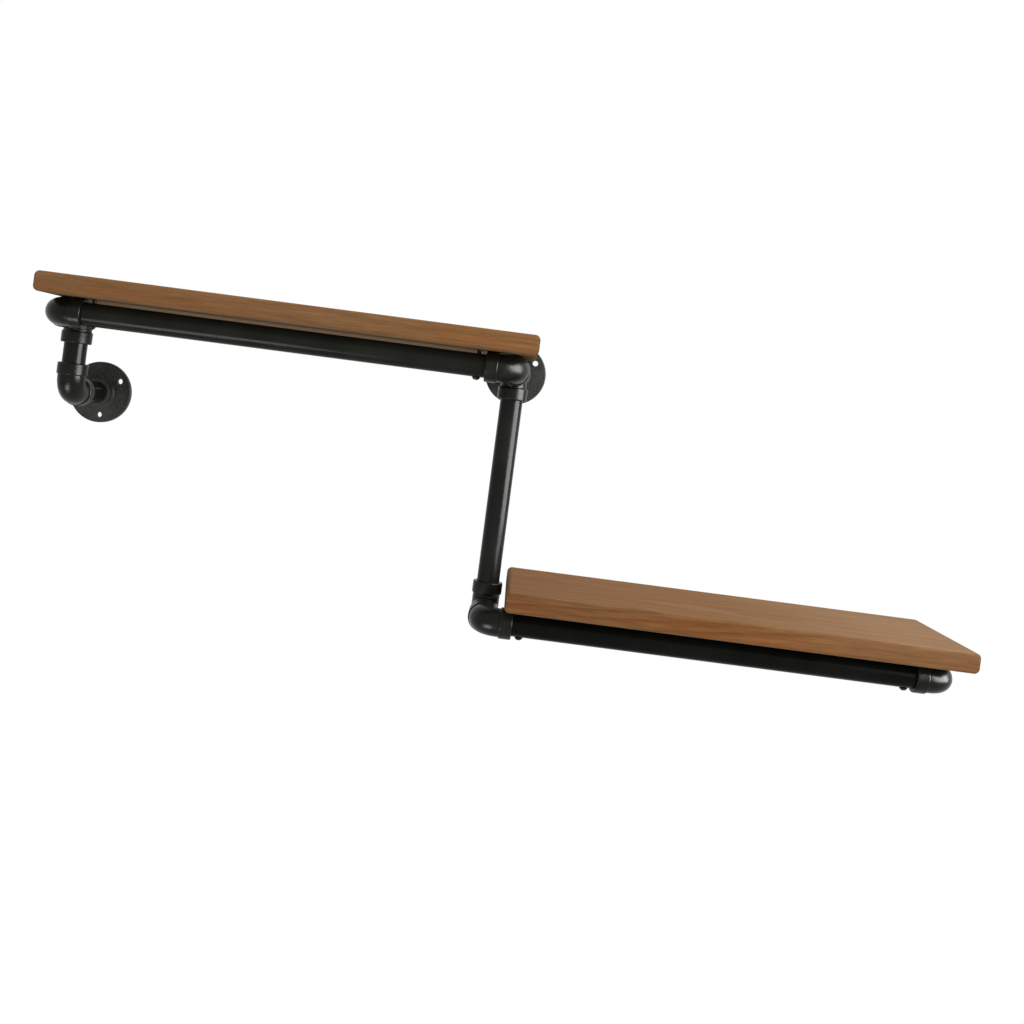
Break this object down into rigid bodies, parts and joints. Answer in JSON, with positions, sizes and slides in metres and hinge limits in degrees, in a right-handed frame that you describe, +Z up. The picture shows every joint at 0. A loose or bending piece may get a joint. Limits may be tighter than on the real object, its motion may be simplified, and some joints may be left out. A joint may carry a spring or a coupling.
{
  "type": "pipe shelving unit",
  "caption": "Stepped wall shelf of black screwed pipe: wooden boards rest on level rails that an upright riser joins, held by round wall flanges.",
  "frame": {"origin": "centre of the corner flange's back face, on the wall", "axes": "+X to the right along the wall, +Y into the wall, +Z up"},
  "size_m": [1.132, 0.208, 0.3669],
  "materials": {
    "board_wood": "warm brown stained and oiled solid wood, long straight grain, satin",
    "pipe_steel": "black lacquered steel pipe, semi-gloss",
    "fitting_iron": "black coated malleable iron, fine cast texture, semi-gloss",
    "flange_iron": "black coated cast iron, grainy, satin",
    "screw_steel": "black oxide steel, satin"
  },
  "bodies": {
    "root": {"upper_board": "board_wood", "lower_board": "board_wood", "upper_rail": "pipe_steel", "lower_rail": "pipe_steel", "riser_pipe": "pipe_steel", "left_close_nipple": "pipe_steel", "drop_nipple": "pipe_steel", "left_wall_nipple": "pipe_steel", "corner_close_nipple": "pipe_steel", "corner_wall_nipple": "pipe_steel", "foot_close_nipple": "pipe_steel", "right_wall_nipple": "pipe_steel", "left_front_elbow": "fitting_iron", "left_drop_elbow": "fitting_iron", "left_wall_elbow": "fitting_iron", "corner_front_elbow": "fitting_iron", "corner_tee": "fitting_iron", "foot_front_elbow": "fitting_iron", "foot_riser_elbow": "fitting_iron", "right_end_elbow": "fitting_iron", "left_flange": "flange_iron", "corner_flange": "flange_iron", "right_flange": "flange_iron", "upper_board_screws": "screw_steel", "lower_board_screws": "screw_steel"}
  },
  "joints": []
}
